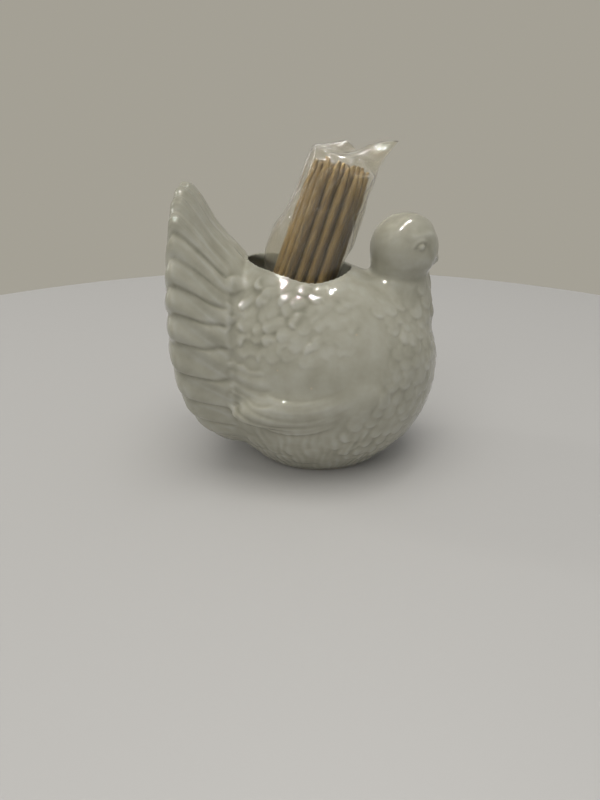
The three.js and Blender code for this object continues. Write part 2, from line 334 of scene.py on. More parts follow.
# Fields of short feathers: their span up and round the trunk in degrees, the spacing of rows and columns, one
# feather's size and how far it may stray and turn, then where the field starts and ends
fields = {
    "breast": {"climbs": (-52, 52), "turns": (-82, 82), "row": 2.7, "column": 3.3, "width": 1.75, "tip": 1.6,
               "length": 3.2, "height": 0.30, "crown": 0.30, "stray": 0.6, "turn": 0.4,
               "front": (8.5, ((10.5, 15, 25), (1.5, 25, 34), (-4.5, 35, 43))), "frontSoft": 1.5,
               "up": (3, 9), "thin": (0.6, 40, 45)},
    "shoulder": {"climbs": (14, 74), "turns": (20, 340), "row": 2.4, "column": 3.0, "width": 1.6, "tip": 1.5,
                 "length": 3.2, "height": 0.46, "crown": 0.45, "stray": 0.9, "turn": 0.9,
                 "along": ((-18.5, -16.5), (9, 17)), "up": (30, 37), "fromRim": (1.0, 2.6),
                 "thin": (0.6, -4, 8)},
    "belly": {"climbs": (-60, -20), "turns": (60, 300), "row": 3.9, "column": 4.4, "width": 2.4, "tip": 2.3,
              "length": 4.2, "height": 0.30, "crown": 0.3, "stray": 0.7, "turn": 0.4,
              "along": ((-16, -10), (3, 9)), "up": ((1, 4), (8, 14)), "full": 0.7},
}

feather = {
    "seed": 11,
    "grow": (0.85, 1.18),
    "rise": (0.7, 1.25),
    "narrowing": 0.25,  # towards the root
    "edge": (-0.08, 0.14),  # how softly the outline ends
    "rootEnd": 0.6,  # of its length, where it comes out from under the others
    "climb": (0.30, 0.7),  # its height at the root, and where along the tip it is full
    "shaft": (0.10, 0.28),  # height and half width
    "cover": 1.6,  # a spot this far from the outside is covered by something
    "facing": 0.3,
    "further": 0.14,
    "sameSide": 0.2,
    "ringRadius": 26.2,  # of the trunk, for spacing the rows
    "leastTurn": 0.25,
    "leastShare": 0.05,
}

quill = {
    "side": 8,  # the bird's side, from here outwards
    "alongSpan": (-18, 16),
    "upSpan": (6, 34),
    "steps": 60,
    "width": (0.8, 0.25),  # at its ends, and how much more at its middle, as shares
    "edge": (-0.06, 0.12),
    "comesOut": (0.02, 0.3),
    "rise": (0.55, 0.8),  # its height at the root, and where along it is full
    "crown": 0.5,
    "tilt": 0.12,
    "shaft": (0.14, 0.3),
    "barb": 0.05,
    "barbRun": (1.15, 2.5),  # how many to a millimetre across, and along the whole feather
    "barbFrom": (0.1, 0.4),
}

# The long wing feathers: three points of each one's middle line from root to tip, half width and height. The
# lowest comes first, because the ones above lie over it.
wingFeathers = [
    ((10.0, 20.6), (-2.4, 12.2), (-15.6, 21.0), 2.0, 0.72),
    ((11.0, 22.8), (-1.0, 14.8), (-15.2, 22.6), 1.8, 0.64),
    ((12.5, 25.6), (0.0, 17.6), (-13.2, 24.6), 2.3, 0.62),
    ((-5.0, 24.6), (-9.5, 21.8), (-14.0, 26.0), 1.5, 0.45),
    ((-6.0, 27.6), (-10.0, 25.0), (-14.5, 28.6), 1.5, 0.38),
    ((-7.0, 30.4), (-10.5, 28.4), (-14.5, 31.2), 1.4, 0.30),
]


def ease(value, a, b):
    t = np.clip((value - a) / (b - a), 0, 1)
    return t * t * (3 - 2 * t)


def between(value, low, high, soft):
    return ease(value, low - soft, low + soft) * (1 - ease(value, high - soft, high + soft))


def hump(away, width):
    return np.exp(-(away / width) ** 2)


def scaffoldCopy(name, voxel):
    # A close, even mesh over the solid of the frame, to be smoothed and carved
    work = addObject("work", frame["nodes"][name].data.copy())
    weld = work.modifiers.new("weld", "WELD")
    weld.merge_threshold = bird["weld"] * mm
    remesh = work.modifiers.new("remesh", "REMESH")
    remesh.mode = "VOXEL"
    remesh.voxel_size = voxel * mm
    evaluated = work.evaluated_get(bpy.context.evaluated_depsgraph_get())
    mesh = bpy.data.meshes.new_from_object(evaluated)
    bpy.data.objects.remove(work)
    mesh.materials.clear()
    return mesh


def readPoints(mesh, kind):
    flat = np.empty(len(mesh.vertices) * 3)
    mesh.vertices.foreach_get(kind, flat)
    return flat.reshape(-1, 3)


def putPoints(mesh, points):
    mesh.vertices.foreach_set("co", (points * mm).ravel())
    mesh.update()


def smoothFaces(mesh):
    mesh.polygons.foreach_set("use_smooth", np.ones(len(mesh.polygons), bool))


def neighbours(mesh):
    flat = np.empty(len(mesh.edges) * 2, dtype=np.int64)
    mesh.edges.foreach_get("vertices", flat)
    edges = flat.reshape(-1, 2)
    return edges, np.maximum(np.bincount(edges.ravel(), minlength=len(mesh.vertices)), 1)


def average(values, edges, count):
    size = len(count)
    first = np.bincount(edges[:, 0], values[edges[:, 1]], size)
    second = np.bincount(edges[:, 1], values[edges[:, 0]], size)
    return (first + second) / count


def relax(points, edges, count, rounds, weight):
    for _ in range(rounds):
        mean = np.stack([average(points[:, k], edges, count) for k in range(3)], 1)
        points = points + (mean - points) * weight[:, None]
    return points


def unevenness(p, wavelength, seed):
    # A random swell about 1 high, from waves that run every way
    rng = random.Random(seed)
    total = np.zeros(len(p))
    waves = 14
    for _ in range(waves):
        way = Vector([rng.gauss(0, 1) for _ in range(3)]).normalized()
        way = way * 2 * math.pi / (wavelength * rng.uniform(0.75, 1.4))
        total += np.sin(p @ np.array(way) + rng.uniform(0, 2 * math.pi))
    return total / math.sqrt(waves / 2)


def lipLift(p):
    # The mouth's lip climbs towards the tail
    x, y, z = p.T
    reach = np.hypot(x, y)
    towardTail = 1 - x / np.maximum(reach, 1)
    near = 1 - ease(reach - bird["mouthRadius"], *bird["lipReach"])
    return towardTail * bird["lipRise"] * near * ease(z, *bird["lipUp"])


def fullness(p):
    # The head and the fan's tip fill out again after the smoothing
    x, _, z = p.T
    fill, up, back, front = bird["headFill"]
    head = fill * ease(z, *up) * ease(x, *back) * (1 - ease(x, *front))
    fill, up, front = bird["tipFill"]
    return head + fill * ease(z, *up) * (1 - ease(x, *front))


def inHollow(p, normals):
    # 1 on the inner wall and down the mouth, 0 on the outside
    outward = p - np.array(bird["trunkMiddle"])
    x, y, z = outward.T
    forward, back, side, up, down = bird["hollow"]
    along = np.where(x > 0, x / forward, np.abs(x / back) ** (1 / bird["hollowCorner"]))
    z = z - bird["backRise"] * ease(-x, 0, bird["hollowBackRun"]) * np.clip(z / up, 0, 1) ** 2
    height = np.where(z > 0, z / up, z / down)
    reach = np.sqrt(along ** 2 + (y / side) ** 2 + height ** 2)
    facing = (outward / np.linalg.norm(outward, axis=1, keepdims=True) * normals).sum(1)
    wall = (1 - ease(reach, *bird["hollowWall"])) * (1 - ease(facing, *bird["hollowFacing"]))
    throat = (1 - ease(np.hypot(p[:, 0], y), *bird["throat"])) * ease(p[:, 2], *bird["throatFrom"])
    return np.maximum(wall, throat)


def fanPlace(p, rootShape):
    # Where a point lies on the fan: its angle from the top, then 1 at the rim, then 1 at the root
    x, y, z = p.T
    rootMiddleZ, *rootSize = rootShape
    rimSide, rimTop, rimBottom = fan["rimX"]
    root = np.zeros(len(p))
    for _ in range(4):
        side, up, down = [size + (end - size) * root for size, end in zip(fan["size"], rootSize)]
        high = z - fan["middleZ"] - (rootMiddleZ - fan["middleZ"]) * root
        sideways, height = y / side, np.where(high > 0, high / up, high / down)
        angle, out = np.arctan2(sideways, height), np.hypot(sideways, height)
        bend = np.abs(np.cos(angle)) ** fan["rimBend"]
        rim = rimSide + (np.where(high > 0, rimTop, rimBottom) - rimSide) * bend
        root = np.clip((x - rim) / (fan["rootX"] - rim), 0, 1)
    return angle, out, root


def featherNumber(angle):
    return angle / (2 * math.pi) * fan["feathers"]


def acrossFeather(angle):
    # -1 and 1 in the grooves, 0 along the middle of a tail feather
    number = featherNumber(angle)
    return 2 * (number - np.round(number))


def tailRelief(p):
    angle, out, root = fanPlace(p, fan["solidRoot"])
    ribs = np.where(root > 0, np.sin(math.pi * root), np.clip(out, 0, 1))
    flatten = -fan["flatten"] * fan["solidRib"] * (0.5 - acrossFeather(angle) ** 2) * ribs
    angle, out, root = fanPlace(p, fan["carvedRoot"])
    number, sideways = featherNumber(angle), acrossFeather(angle)
    atRim, lost = fan["spread"]
    halfWidth = math.pi * np.clip(out, *fan["outSpan"]) * (atRim - lost * root) / fan["feathers"]
    fromTop = np.degrees(np.abs(angle))
    # The grooves high on the fan are faint, apart from the one beside the third feather
    least, run = fan["faint"]
    strong = least + (1 - least) * ease(fromTop, *run)
    loss, run = fan["weaker"]
    strong = strong - loss * between(fromTop, *run)
    loss, run = fan["lowest"]
    strong = strong * (1 - loss * ease(fromTop, *run)) * ease(out, *fan["grooveFrom"])
    groove = -fan["groove"] * hump((1 - np.abs(sideways)) * halfWidth, fan["grooveWidth"])
    crown = fan["rib"] * (np.sqrt(1 - fan["ribRound"] * sideways ** 2) - fan["ribLevel"])
    lap = fan["lap"] * sideways * np.sign(angle)
    wander = fan["wander"] * np.sin(out * 9 + 3 * np.round(number)) * (1 - sideways ** 2)
    streaks = np.sin(5 * math.pi * sideways + 2 * np.sin(out * 9)) * (1 - ease(fromTop, *fan["streakEnd"]))
    streaks = fan["streak"] * streaks * ease(out, *fan["streakFrom"])
    return strong * (groove + crown + lap + wander) + flatten + streaks


class Quilt:
    # Lays feathers over one another on the bird's outside
    def __init__(self, points, normals, bvh):
        self.points, self.normals, self.bvh = points, normals, bvh
        self.height = np.zeros(len(points))
        self.rng = random.Random(feather["seed"])

    def anchor(self, spot):
        # The outside nearest to a point of the plain trunk, looked for from further out where that is covered
        outward = Vector(spot) - Vector(bird["trunkMiddle"])
        nearest, normal, _, distance = self.bvh.find_nearest(Vector(spot) * mm)
        if distance > feather["cover"] * mm or normal.dot(outward.normalized()) < feather["facing"]:
            nearest, normal, *_ = self.bvh.find_nearest((Vector(spot) + feather["further"] * outward) * mm)
        return np.array(nearest) / mm, np.array(normal)

    def blend(self, chosen, new, inside):
        self.height[chosen] = self.height[chosen] * (1 - inside) + new * inside

    def lay(self, spot, toward, width, tip, length, height, crown):
        centre, normal = self.anchor(spot)
        along = np.array(toward, float)
        along = along - normal * (along @ normal)
        along /= np.linalg.norm(along)
        sideways = np.cross(normal, along)
        chosen = np.nonzero(np.abs(self.points - centre).max(1) < length + tip)[0]
        chosen = chosen[(self.normals[chosen] @ normal) > feather["sameSide"]]
        local = self.points[chosen] - centre
        a, b = local @ along, local @ sideways
        narrow = width * (1 - feather["narrowing"] * ease(-a, 0, length))
        ahead = (1 - np.sqrt((np.clip(a, 0, None) / tip) ** 2 + (b / narrow) ** 2)) * min(width, tip)
        inside = ease(ahead, *feather["edge"]) * ease(a, -length, -feather["rootEnd"] * length)
        atRoot, full = feather["climb"]
        climb = atRoot + (1 - atRoot) * ease(a, -length, tip * full)
        bulge = climb * (1 - crown * (b / narrow) ** 2)
        shaftHeight, shaftWidth = feather["shaft"]
        self.blend(chosen, height * (bulge + shaftHeight * hump(b, shaftWidth)), inside)

    def layLong(self, side, root, bend, tip, halfWidth, height):
        # One long feather along a bent line on the bird's side
        x, y, z = self.points.T
        (back, front), (low, high) = quill["alongSpan"], quill["upSpan"]
        onSide = (y * side > quill["side"]) & (x > back) & (x < front) & (z > low) & (z < high)
        chosen = np.nonzero(onSide)[0]
        flat = self.points[chosen][:, [0, 2]]
        steps = quill["steps"]
        t = np.linspace(0, 1, steps)[:, None]
        line = (1 - t) ** 2 * np.array(root) + 2 * t * (1 - t) * np.array(bend) + t ** 2 * np.array(tip)
        gap = np.linalg.norm(flat[:, None, :] - line[None, :, :], axis=2)
        near = gap.argmin(1)
        away = gap[np.arange(len(flat)), near]
        below = np.sign((flat - line[near])[:, 1])
        along = near / (steps - 1)
        atEnds, more = quill["width"]
        width = halfWidth * (atEnds + more * np.sin(math.pi * along))
        inside = ease(1 - away / width, *quill["edge"]) * ease(along, *quill["comesOut"])
        atRoot, full = quill["rise"]
        bulge = atRoot + (1 - atRoot) * ease(along, 0, full)
        bulge = bulge * (1 - quill["crown"] * (away / width) ** 2)
        bulge = bulge - quill["tilt"] * below * away / width
        shaftHeight, shaftWidth = quill["shaft"]
        perWidth, perLength = quill["barbRun"]
        barbs = np.sin(2 * math.pi * (away * below * perWidth + along * perLength))
        barbs = quill["barb"] * barbs * ease(away / width, *quill["barbFrom"])
        self.blend(chosen, height * (bulge + shaftHeight * hump(away, shaftWidth) + barbs), inside)

    def field(self, spots, toward, shape, order):
        # Rows of like feathers, none quite in its place; those with the highest order lie on top
        for spot in sorted(spots, key=order):
            stray = shape["stray"]
            moved = [spot[k] + self.rng.uniform(-stray, stray) for k in range(3)]
            swing = self.rng.uniform(-1, 1) * shape["turn"]
            heading = Matrix.Rotation(swing, 3, self.anchor(moved)[1]) @ Vector(toward(spot))
            grow = self.rng.uniform(*feather["grow"])
            rise = shape["height"] * self.rng.uniform(*feather["rise"]) * spot[3]
            size = [shape[name] * grow for name in ("width", "tip", "length")]
            self.lay(moved, heading, *size, rise, shape["crown"])


def eased(value, a, b):
    return float(ease(value, a, b))


def onTrunk(turn, climb):
    # A point of the trunk: turn from the breast round the sides, climb above its middle, in degrees
    forward, side, up, down = bird["trunkSize"]
    x0, _, z0 = bird["trunkMiddle"]
    turn, climb = math.radians(turn), math.radians(climb)
    ahead = forward * math.cos(climb) * math.cos(turn)
    rise = (up if climb > 0 else down) * math.sin(climb)
    back = eased(-ahead, 0, forward / 2) * bird["backRise"]
    rise += back * max(0.0, math.sin(climb)) ** 2
    return x0 + ahead, side * math.cos(climb) * math.sin(turn), z0 + rise


def gridSpots(shape, share):
    spots = []
    radius = feather["ringRadius"]
    row = 0
    climb, top = shape["climbs"]
    while climb < top:
        shrink = max(feather["leastTurn"], math.cos(math.radians(climb)))
        step = math.degrees(shape["column"] / (radius * shrink))
        first, last = shape["turns"]
        turn = first + (row % 2) * step / 2
        while turn < last:
            spot = onTrunk(turn, climb)
            amount = share(shape, spot)
            if amount > feather["leastShare"]:
                spots.append((*spot, amount))
            turn += step
        climb += math.degrees(shape["row"] / radius)
        row += 1
    return spots


def within(value, rise, fall):
    return eased(value, *rise) * (1 - eased(value, *fall))


# How full each field is at a point of the trunk
def breastShare(shape, spot):
    x, _, z = spot
    least, steps = shape["front"]
    front = sum([step * eased(z, *run) for step, *run in steps], least)
    soft = shape["frontSoft"]
    loss, *run = shape["thin"]
    return eased(x, front - soft, front + soft) * eased(z, *shape["up"]) * (1 - loss * eased(z, *run))


def shoulderShare(shape, spot):
    x, y, z = spot
    rim = math.hypot(x, y) - bird["mouthRadius"]
    side = eased(z, *shape["up"]) * within(x, *shape["along"]) * eased(rim, *shape["fromRim"])
    loss, *run = shape["thin"]
    return side * (1 - loss * eased(x, *run))


def bellyShare(shape, spot):
    x, _, z = spot
    return shape["full"] * within(x, *shape["along"]) * within(z, *shape["up"])


def layFeathers(quilt):
    breast, shoulder, belly = fields["breast"], fields["shoulder"], fields["belly"]
    spots = gridSpots(belly, bellyShare)
    quilt.field(spots, lambda s: (-1, 0, -0.25), belly, lambda s: s[0])
    for side in (-1, 1):
        for line in wingFeathers:
            quilt.layLong(side, *line)
    spots = gridSpots(shoulder, shoulderShare)
    quilt.field(spots, lambda s: (-1, 0.25 * np.sign(s[1]), -0.45), shoulder, lambda s: s[0])
    spots = gridSpots(breast, breastShare)
    quilt.field(spots, lambda s: (-0.25, 0.1 * np.sign(s[1]), -1), breast, lambda s: s[2])


# Furrows and ridges of the face: height, half width, a point that each passes and its slope, then from where
# to where it runs and how softly it ends. Those of the eye, lore and cheek are measured from the eye.
face = {
    "eye": (26.5, 53.3),
    "eyeSlant": 0.20,  # the eye's long axis rises a little towards the beak
    "eyeRing": (-0.1, 1.1, 0.8),  # middle, half length, half height
    "eyeBall": (0.20, 0.55),
    "eyeSlit": (-0.26, 0.24, 1.0, 0.7, (-0.4, 0.4)),  # then where it lies on the ring, and how it fades
    "eyeLid": (0.16, 0.35, 1.5, (-0.6, 0.5)),
    "eyeCorner": (-0.16, 0.25, (0, -0.05), 0, (-1.9, -1.0, 0.25)),
    "eyeBrow": (0.22, 0.8, (0, 2.2), 0.1, (-2.2, 2.8, 1.0)),
    "lore": (-0.34, 0.75, (-3.0, 1.2, 1.0)),
    "loreAcross": (0.943, 0.33),
    "loreAt": (1.9, -0.5),
    "cheek": (0.28, (0.3, -3.0), (2.0, 1.3)),
    "gape": (-0.16, 0.3, (30, 49.0), -0.4),
    "gapeAlong": (28.0, 29.6),
    "beak": (0.15, (49.6, 55.5, 1.4), (27.6, 30.2)),
    "nape": (-0.22, 0.7, (20, 46.4), -0.10, (14, 27, 1.5)),
    "napeOut": (0.5, 3),
    "slot": (-0.5, 0.45, (42, 29.2), -0.12, (37, 46.5, 1.5)),
    "slotOut": (1.6, 2.6),
    "sideOut": (3.0, 4.5),
    "sideUp": (48, 58, 1),
}


def furrow(along, up, shape):
    height, width, (atAlong, atUp), slope, *run = shape
    ends = between(along, *run[0]) if run else 1
    return height * hump(up - atUp - slope * (along - atAlong), width) * ends


def faceRelief(p):
    x, y, z = p[:, 0], np.abs(p[:, 1]), p[:, 2]
    dx, dz = x - face["eye"][0], z - face["eye"][1]
    slant = dz - face["eyeSlant"] * dx
    middle, halfLength, halfHeight = face["eyeRing"]
    ring = np.sqrt(((dx - middle) / halfLength) ** 2 + (slant / halfHeight) ** 2)
    height, width = face["eyeBall"]
    eye = height * hump(np.hypot(dx, slant), width)
    height, width, at, least, run = face["eyeSlit"]
    eye += height * hump(ring - at, width) * (least + (1 - least) * ease(slant, *run))
    height, width, at, run = face["eyeLid"]
    eye += height * hump(ring - at, width) * ease(slant, *run)
    eye += furrow(dx, slant, face["eyeCorner"]) + furrow(dx, dz, face["eyeBrow"])
    height, width, run = face["lore"]
    (atX, atZ), (acrossX, acrossZ) = face["loreAt"], face["loreAcross"]
    besideBeak = (dx - atX) * acrossX + (dz - atZ) * acrossZ
    eye += height * hump(besideBeak, width) * between(dz, *run)
    height, (atAlong, atUp), (length, width) = face["cheek"]
    eye += height * hump(dx - atAlong, length) * hump(dz - atUp, width)
    eye *= ease(y, *face["sideOut"]) * between(z, *face["sideUp"])
    gape = furrow(x, z, face["gape"]) * ease(x, *face["gapeAlong"])
    height, up, along = face["beak"]
    beak = height * between(z, *up) * ease(x, *along)
    nape = furrow(x, z, face["nape"]) * ease(y, *face["napeOut"])
    slot = furrow(z, x, face["slot"]) * (1 - ease(y, *face["slotOut"]))
    return eye + gape + beak + nape + slot


def bodyRelief(p, normals, bvh):
    x, y, z = p[:, 0], np.abs(p[:, 1]), p[:, 2]
    tail = 1 - ease(x, *fan["front"])
    quilt = Quilt(p, normals, bvh)
    layFeathers(quilt)
    neck = ease(z, *bird["neckUp"]) * ease(x, *bird["neckAlong"])
    depth, at, width, run = fan["channel"]
    channel = -depth * hump(x - at, width) * between(z, *run)
    turn = np.arctan2(y, x - bird["trunkMiddle"][0])
    hairZone = between(x, *bird["hairAlong"]) * (1 - ease(z, *bird["hairEnd"])) * ease(z, *bird["hairUp"])
    hairs, patches = bird["hairs"]
    strands = np.sin(turn * hairs + 1.5 * np.sin(z * 0.7 + turn * 9))
    strands *= 0.6 + 0.4 * np.sin(turn * patches + z * 0.5)
    body = quilt.height * (1 - neck) + hairZone * bird["hair"] * strands + channel
    panel = between(z, *bird["panelUp"]) * between(x, *bird["panelAlong"])
    head = ease(z, *bird["headUp"]) * ease(x, *bird["neckAlong"])
    calm = np.maximum(bird["calm"][0] * panel, bird["calm"][1] * head)
    swells = sum(share * unevenness(p, wavelength, seed) for wavelength, seed, share in bird["swells"])
    return tail * tailRelief(p) + (1 - tail) * body + bird["swell"] * swells * (1 - calm)


soft = {
    "weight": 0.5,
    "keeps": (0.5, 0.86, 0.85, 0.93),  # how far the head, its front, the tail and the lip keep their edges
    "headUp": (43, 47),
    "headAlong": (13, 16),
    "frontUp": (34, 37),
    "frontAlong": (27, 29),
    "rimRoot": 0.10,
    "rimOut": (0.88, 0.96),
    "tailLeast": 0.30,  # what the tail keeps inside its rim
    "tailAlong": (-17.5, -15.5),
    "lipReach": (1.5, 4),
    "lipUp": (38, 42),
}


def softness(p):
    # How far each place may be smoothed
    x, y, z = p.T
    head = ease(z, *soft["headUp"]) * ease(x, *soft["headAlong"])
    front = ease(x, *soft["frontAlong"]) * ease(z, *soft["frontUp"])
    _, out, root = fanPlace(p, fan["solidRoot"])
    rim = hump(root, soft["rimRoot"]) * ease(out, *soft["rimOut"])
    least = soft["tailLeast"]
    tail = (1 - ease(x, *soft["tailAlong"])) * (least + (1 - least) * rim)
    lip = (1 - ease(np.hypot(x, y) - bird["mouthRadius"], *soft["lipReach"])) * ease(z, *soft["lipUp"])
    keep = np.maximum.reduce([share * zone for share, zone in zip(soft["keeps"], (head, front, tail, lip))])
    return soft["weight"] * (1 - keep)


glaze = {
    # The colour over the relief's edges is lighter and the one in its hollows darker: partly glaze that runs
    # thin or gathers there, partly painted light on the edges and painted shade in the hollows
    "even": (0.365, 0.355, 0.285, 1),
    "thin": (0.465, 0.458, 0.40, 1),
    "poolAndShade": (0.235, 0.228, 0.17, 1),
    "spot": (0.42, 0.36, 0.27, 1),
    "biscuit": (0.60, 0.55, 0.46, 1),
    "biscuitRoughness": 0.85,
    "bareFoot": (0.5, 0.1),  # the glaze stops between these heights, in millimetres
    "poolAndShadeRounds": 14,
    "poolAndShadeDepth": 0.22,
    "evenRounds": 2,
    "thinAndLitAt": -0.9,
    "poolAndShadeAt": 1.1,
    "peel": (0.04, 0.05),
    "bend": 1.54,
}


def storePoolAndShade(mesh, relief, edges, count):
    # Above 0 in a hollow of the relief, below 0 over an edge. The glaze gathers in the hollows and runs thin
    # over the edges, and the colour made from this also paints shade into the hollows and light onto the
    # edges
    wide = relief
    for _ in range(glaze["poolAndShadeRounds"]):
        wide = average(wide, edges, count)
    poolAndShade = np.clip((wide - relief) / glaze["poolAndShadeDepth"], -1, 1)
    for _ in range(glaze["evenRounds"]):
        poolAndShade = average(poolAndShade, edges, count)
    mesh.attributes.new("poolAndShade", "FLOAT", "POINT").data.foreach_set("value", poolAndShade)


def carveBird():
    mesh = scaffoldCopy("holder_body", bird["voxel"])
    points = readPoints(mesh, "co") / mm
    edges, count = neighbours(mesh)
    points = relax(points, edges, count, bird["softRounds"], softness(points))
    points[:, 2] += lipLift(points)
    putPoints(mesh, points)
    polygons = [tuple(polygon.vertices) for polygon in mesh.polygons]
    bvh = BVHTree.FromPolygons([Vector(v) * mm for v in points], polygons)
    normals = readPoints(mesh, "normal")
    outside = 1 - inHollow(points, normals)
    relief = outside * (bodyRelief(points, normals, bvh) + faceRelief(points) + fullness(points))
    raised = relief - bird["sink"] * outside * ease(points[:, 2], 1, 4)
    points = points + normals * raised[:, None]
    points = relax(points, edges, count, bird["glazeRounds"], np.full(len(points), bird["glazeWeight"]))
    points[:, 2] = np.where(points[:, 2] < bird["flatFoot"], 0, points[:, 2])
    putPoints(mesh, points)
    storePoolAndShade(mesh, relief - outside * fullness(points), edges, count)
    smoothFaces(mesh)
    print("   bird vertices:", len(points))
    return mesh


def glazeMaterial():
    material, nodes, links, shader = startMaterial("milkGlaze")
    where = nodes.new("ShaderNodeTexCoord").outputs["Object"]
    poolAndShade = nodes.new("ShaderNodeAttribute")
    poolAndShade.attribute_name = "poolAndShade"
    tone = place(nodes, links, softMottle, where, Scale=210.0, Detail=5.0, Low=-0.34, High=0.36)
    # Darker in the relief's hollows and lighter over its edges, with random tone: in part glaze that gathers
    # or runs thin, in part painted shade and painted light
    deepAndShaded = addMath(nodes, links, "ADD", poolAndShade.outputs["Fac"], tone).outputs[0]
    thin = mapRange(nodes, links, deepAndShaded, 0.0, glaze["thinAndLitAt"])
    colour = mixColour(nodes, links, thin, glaze["even"], glaze["thin"])
    thickAndShaded = mapRange(nodes, links, deepAndShaded, 0.0, glaze["poolAndShadeAt"])
    colour = mixColour(nodes, links, thickAndShaded, colour, glaze["poolAndShade"])
    spots = place(nodes, links, sparseSpecks, where, Scale=420.0, Size=0.10, Share=0.04)
    colour = mixColour(nodes, links, spots, colour, glaze["spot"])
    split = nodes.new("ShaderNodeSeparateXYZ")
    links.new(where, split.inputs[0])
    bare = mapRange(nodes, links, split.outputs["Z"], *[height * mm for height in glaze["bareFoot"]])
    links.new(mixColour(nodes, links, bare, colour, glaze["biscuit"]), shader["Base Color"])
    rough = nodes.new("ShaderNodeMix")
    links.new(bare, rough.inputs["Factor"])
    gloss = place(nodes, links, softMottle, where, Scale=160.0, Detail=2.0, Low=0.012, High=0.04)
    links.new(gloss, rough.inputs["A"])
    rough.inputs["B"].default_value = glaze["biscuitRoughness"]
    links.new(rough.outputs["Result"], shader["Roughness"])
    peel = place(nodes, links, softMottle, where, Scale=700.0, Detail=1.0, Low=0.0, High=1.0)
    links.new(bumpNormal(nodes, links, peel, *glaze["peel"]), shader["Normal"])
    shader["IOR"].default_value = glaze["bend"]
    return material


def makeBird():
    mesh = carveBird()
    piece = addObject("bird_casting", mesh)
    mesh.materials.append(glazeMaterial())
    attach(piece, "holder")
    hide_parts("holder_body")


makeBird()

print("stage: toothpicks")

lift = frame["joints"][0]["axis"]
upAlong = Vector(lift).normalized()  # along the toothpicks
across = Vector((upAlong.z, 0, -upAlong.x))  # across the bundle, towards the head

pick = {
    "seed": 7,
    "sides": 14,
    "rings": 22,
    "radius": 1.0,
    "radiusStray": (-0.04, 0.02),
    "facet": 0.018,
    "tip": 0.34,
    "tipRound": 0.9,
    "taper": 7.0,
    "taperStray": (0.85, 1.1),
    "bend": 0.07,
    "bendShare": (0.3, 1),
    "girth": 6.3,
    "grainSlide": 400,  # each pick shows another stretch of the grain
    "grainStretch": 0.045,
    "relief": (0.5, 0.05),
    "pale": (0.240, 0.155, 0.040, 1),
    "streak": (0.030, 0.018, 0.006, 1),
    "pore": (0.020, 0.012, 0.005, 1),
}


def pickEnds(node):
    points = readPoints(node.data, "co")
    middle = points.mean(0)
    axis = np.linalg.svd(points - middle, full_matrices=False)[2][0]
    if axis[2] < 0:
        axis = -axis
    along = (points - middle) @ axis
    return Vector(middle + axis * along.min()), Vector(middle + axis * along.max())


def pickMesh(name, low, high, rng):
    axis = (high - low).normalized()
    length = (high - low).length / mm
    sideways = axis.cross(Vector((0, 1, 0))).normalized()
    other = axis.cross(sideways)
    bendTurn, bend = rng.uniform(0, 2 * math.pi), rng.uniform(*pick["bendShare"]) * pick["bend"]
    radiusHere = pick["radius"] + rng.uniform(*pick["radiusStray"])
    taper = pick["taper"] * rng.uniform(*pick["taperStray"])
    sides, rings, girth = pick["sides"], pick["rings"], pick["girth"]
    heights = [length * (0.5 - 0.5 * math.cos(math.pi * i / (rings - 1))) for i in range(rings)]
    slide = rng.uniform(0, pick["grainSlide"])
    turned = [2 * math.pi * j / sides for j in range(sides)]
    bent = sideways * math.cos(bendTurn) + other * math.sin(bendTurn)
    vertices, faces, grain = [], [], []
    for height in heights:
        end = min(height, length - height) / taper
        full = math.sin(min(end, 1) * math.pi / 2) ** pick["tipRound"]
        radius = pick["tip"] + (radiusHere - pick["tip"]) * full
        sway = bend * math.sin(math.pi * height / length)
        middle = low + axis * height * mm + bent * sway * mm
        for turn in turned:
            facet = 1 + pick["facet"] * math.sin(3 * turn + bendTurn)
            outward = sideways * math.cos(turn) + other * math.sin(turn)
            vertices.append(middle + outward * radius * facet * mm)
    vertices.extend([low, high])
    for i in range(rings - 1):
        below, above = heights[i] + slide, heights[i + 1] + slide
        for j in range(sides):
            k = (j + 1) % sides
            left, right = j / sides * girth, (j + 1) / sides * girth
            faces.append((i * sides + j, i * sides + k, (i + 1) * sides + k, (i + 1) * sides + j))
            grain.extend([(left, below), (right, below), (right, above), (left, above)])
    last = (rings - 1) * sides
    for j in range(sides):
        k = (j + 1) % sides
        faces.append((len(vertices) - 2, k, j))
        faces.append((len(vertices) - 1, last + j, last + k))
        grain.extend([(0, slide)] * 3 + [(0, slide + length)] * 3)
    mesh = bpy.data.meshes.new(name)
    mesh.from_pydata(vertices, [], faces)
    mesh.uv_layers.new(name="grain").data.foreach_set("uv", np.array(grain).ravel())
    smoothFaces(mesh)
    mesh.update()
    return mesh


